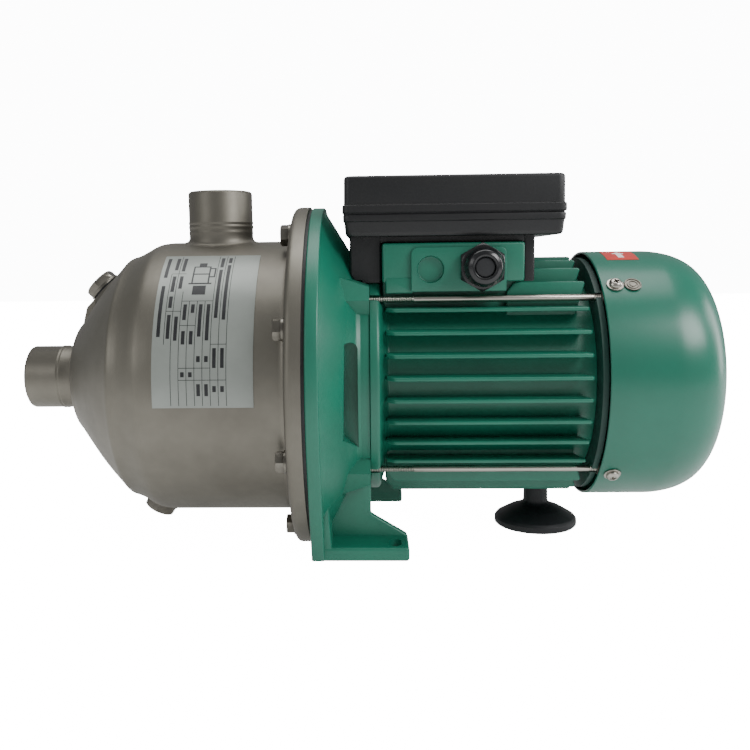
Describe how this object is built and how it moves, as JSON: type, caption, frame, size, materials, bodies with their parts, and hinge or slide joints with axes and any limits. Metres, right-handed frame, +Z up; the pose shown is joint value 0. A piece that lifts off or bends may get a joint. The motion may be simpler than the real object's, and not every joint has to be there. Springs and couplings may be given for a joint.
{
  "type": "centrifugal water pump",
  "caption": "Horizontal multistage centrifugal water pump: pressed stainless casing with axial suction and top discharge, finned motor, fan cover and terminal box.",
  "frame": {"origin": "on the base plane, midway between the two slotted holes in the feet, straight below the shaft", "axes": "+X along the shaft from the suction port to the fan cover, +Z up along the discharge port, +Y away from the cable gland side"},
  "size_m": [0.3865, 0.193, 0.1993],
  "materials": {
    "stainless": "bead-blasted pressed stainless steel, satin",
    "fastener_steel": "bright zinc-plated or stainless fasteners",
    "green_paint": "satin green paint on cast aluminium and sheet steel",
    "dark_green_paint": "satin green paint in shade",
    "stage_steel": "pressed stainless steel",
    "plate_steel": "dull stainless plate",
    "black_plastic": "finely textured black moulding",
    "gland_plastic": "glossy black nylon",
    "black_rubber": "black rubber",
    "shaft_steel": "ground shaft steel",
    "core_steel": "stacked electrical steel sheets",
    "cast_aluminium": "die-cast aluminium",
    "copper_winding": "varnished copper wire",
    "seal_carbon": "carbon seal ring",
    "seal_ceramic": "ceramic seal seat",
    "phenolic": "moulded phenolic",
    "capacitor_plastic": "white capacitor can",
    "label_sheet": "printed foil label",
    "red_sticker": "red sticker"
  },
  "bodies": {
    "pump_frame": {"pump_casing": "stainless", "suction_socket": "stainless", "discharge_socket": "stainless", "casing_oring": "black_rubber", "seal_plate": "plate_steel", "inlet_housing": "stage_steel", "stage_housing_1": "stage_steel", "stage_housing_2": "stage_steel", "diffuser_1": "stage_steel", "diffuser_2": "stage_steel", "clamp_ring": "stage_steel", "seal_seat": "seal_ceramic", "flange_bolts": "fastener_steel", "flange_washers": "fastener_steel", "lantern": "green_paint", "front_bearing_outer": "shaft_steel", "front_bearing_balls": "shaft_steel", "rear_bearing_outer": "shaft_steel", "rear_bearing_balls": "shaft_steel", "wave_washer": "fastener_steel", "stator_housing": "green_paint", "stator_core": "core_steel", "stator_winding": "copper_winding", "rear_shield": "dark_green_paint", "tie_rods": "fastener_steel", "tie_rod_nuts": "fastener_steel", "fan_cover": "green_paint", "cover_screws": "fastener_steel", "cover_badge": "fastener_steel", "rubber_foot": "black_rubber", "foot_stud": "fastener_steel", "terminal_box_base": "black_plastic", "box_gasket": "black_rubber", "terminal_box_lid": "black_plastic", "lid_screws": "fastener_steel", "terminal_block": "phenolic", "capacitor": "capacitor_plastic", "gland_body": "gland_plastic", "gland_seal": "black_rubber", "gland_nut": "gland_plastic", "type_label": "label_sheet", "direction_arrow": "red_sticker"},
    "rotor": {"motor_shaft": "shaft_steel", "rotor_core": "core_steel", "rotor_end_rings": "cast_aluminium", "impeller_1": "stage_steel", "impeller_2": "stage_steel", "impeller_spacer": "stage_steel", "impeller_nut": "fastener_steel", "seal_head": "seal_carbon", "seal_spring": "fastener_steel", "splash_ring": "black_rubber", "front_bearing_inner": "shaft_steel", "rear_bearing_inner": "shaft_steel", "fan": "black_plastic"},
    "fill_plug_seal": {"fill_plug_oring": "black_rubber"},
    "fill_plug": {"fill_plug": "fastener_steel"},
    "drain_plug_seal": {"drain_plug_oring": "black_rubber"},
    "drain_plug": {"drain_plug": "fastener_steel"}
  },
  "joints": [
    {"name": "shaft_spin", "type": "hinge", "parent": "pump_frame", "child": "rotor", "pos_m": [0, 0, 0.09], "axis": [1, 0, 0], "continuous": true},
    {"name": "fill_plug_travel", "type": "slide", "parent": "pump_frame", "child": "fill_plug_seal", "axis": [-0.7071, 0, 0.7071], "range_m": [0, 0.008]},
    {"name": "fill_plug_turn", "type": "hinge", "parent": "fill_plug_seal", "child": "fill_plug", "pos_m": [-0.1656, 0, 0.141], "axis": [-0.7071, 0, 0.7071], "range_deg": [0, 2160]},
    {"name": "drain_plug_travel", "type": "slide", "parent": "pump_frame", "child": "drain_plug_seal", "axis": [-0.4462, 0, -0.8949], "range_m": [0, 0.008]},
    {"name": "drain_plug_turn", "type": "hinge", "parent": "drain_plug_seal", "child": "drain_plug", "pos_m": [-0.137, 0, 0.0157], "axis": [-0.4462, 0, -0.8949], "range_deg": [0, 2160]}
  ],
  "couplings": [
    {"joint": "fill_plug_turn", "follows": "fill_plug_travel", "rad_per_m": 4699.5},
    {"joint": "drain_plug_turn", "follows": "drain_plug_travel", "rad_per_m": 4699.5}
  ]
}
